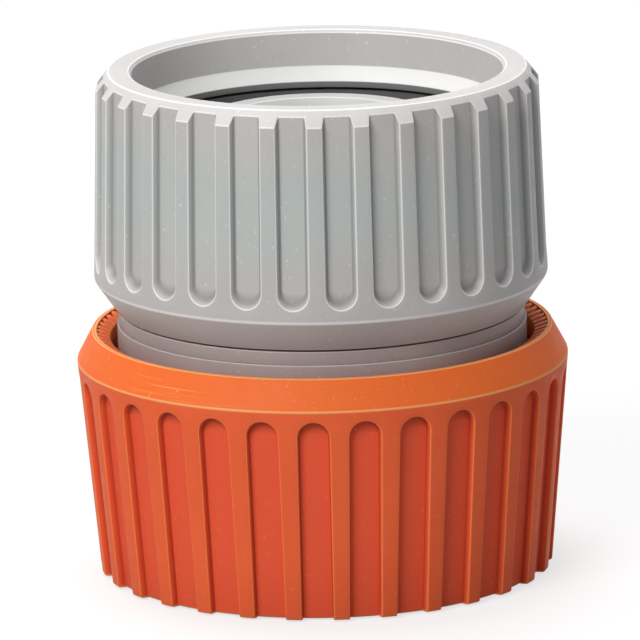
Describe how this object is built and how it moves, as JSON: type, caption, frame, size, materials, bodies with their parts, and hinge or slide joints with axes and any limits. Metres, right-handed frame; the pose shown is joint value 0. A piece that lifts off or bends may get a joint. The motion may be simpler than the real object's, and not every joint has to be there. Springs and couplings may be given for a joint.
{
  "type": "hose quick coupling",
  "caption": "Garden hose quick coupling: fluted grey hose nut with grip collet over a barbed stem, orange spring sleeve that frees the locking claws of the plug socket.",
  "frame": {"origin": "on the axis at the standing face, the front face of the socket body", "axes": "+Z along the axis from the plug socket to the hose nut, -Y the front seen in the picture, +X to its right"},
  "size_m": [0.038, 0.038, 0.0393],
  "materials": {
    "nut_plastic": "satin, finely speckled moulding",
    "stem_plastic": "satin",
    "body_plastic": "satin",
    "collet_plastic": "satin",
    "claw_plastic": "smooth",
    "sleeve_plastic": "satin, finely speckled moulding",
    "ring_plastic": "satin",
    "seal_rubber": "smooth",
    "spring_steel": "drawn wire"
  },
  "bodies": {
    "body": {"socket_body": "body_plastic", "hose_stem": "stem_plastic", "thread_collar": "body_plastic", "body_seal": "seal_rubber", "front_ring": "body_plastic", "return_spring": "spring_steel"},
    "sleeve": {"sleeve_shell": "sleeve_plastic", "guide_ring": "ring_plastic"},
    "claw_front": {"claw_front": "claw_plastic"},
    "claw_right": {"claw_right": "claw_plastic"},
    "claw_rear": {"claw_rear": "claw_plastic"},
    "claw_left": {"claw_left": "claw_plastic"},
    "collet": {"grip_collet": "collet_plastic"},
    "nut": {"hose_nut": "nut_plastic"}
  },
  "joints": [
    {"name": "sleeve_slide", "type": "slide", "parent": "body", "child": "sleeve", "axis": [0, 0, 1], "range_m": [0, 0.0024], "stiffness_N_per_m": 1500, "springref_m": -0.002, "deforming": ["return_spring"]},
    {"name": "claw_front_slide", "type": "slide", "parent": "body", "child": "claw_front", "axis": [0, -1, 0], "range_m": [0, 0.0013]},
    {"name": "claw_right_slide", "type": "slide", "parent": "body", "child": "claw_right", "axis": [1, 0, 0], "range_m": [0, 0.0013]},
    {"name": "claw_rear_slide", "type": "slide", "parent": "body", "child": "claw_rear", "axis": [0, 1, 0], "range_m": [0, 0.0013]},
    {"name": "claw_left_slide", "type": "slide", "parent": "body", "child": "claw_left", "axis": [-1, 0, 0], "range_m": [0, 0.0013]},
    {"name": "collet_lift", "type": "slide", "parent": "body", "child": "collet", "axis": [0, 0, 1], "range_m": [0, 0.0045]},
    {"name": "nut_turn", "type": "hinge", "parent": "collet", "child": "nut", "pos_m": [0, 0, 0.03], "axis": [0, 0, 1], "range_deg": [0, 541]}
  ],
  "couplings": [
    {"joint": "claw_front_slide", "follows": "sleeve_slide", "ratio": 0.5},
    {"joint": "claw_right_slide", "follows": "sleeve_slide", "ratio": 0.5},
    {"joint": "claw_rear_slide", "follows": "sleeve_slide", "ratio": 0.5},
    {"joint": "claw_left_slide", "follows": "sleeve_slide", "ratio": 0.5},
    {"joint": "nut_turn", "follows": "collet_lift", "rad_per_m": 2094.4}
  ]
}
